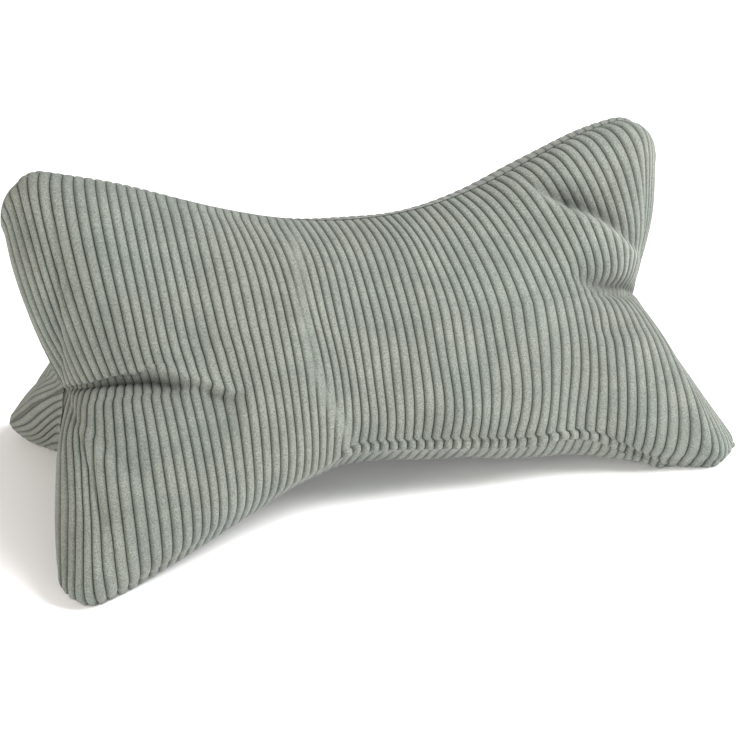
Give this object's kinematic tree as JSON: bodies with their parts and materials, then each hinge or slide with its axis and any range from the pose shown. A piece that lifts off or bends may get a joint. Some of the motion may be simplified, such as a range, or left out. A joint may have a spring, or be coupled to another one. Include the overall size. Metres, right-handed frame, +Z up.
{
  "type": "bone-shaped reading pillow",
  "caption": "Bone-shaped reading pillow in ribbed corduroy: a filled roll with rounded ears at both ends and a saddle for the neck.",
  "frame": {"origin": "middle of the pillow's bounding box, on the surface it stands on", "axes": "+X along the pillow, -Y the front, +Z up"},
  "size_m": [0.4478, 0.243, 0.221],
  "materials": {
    "corduroy": "matte wide-wale corduroy, grey sage green"
  },
  "bodies": {
    "root": {"pillow": "corduroy"}
  },
  "joints": []
}
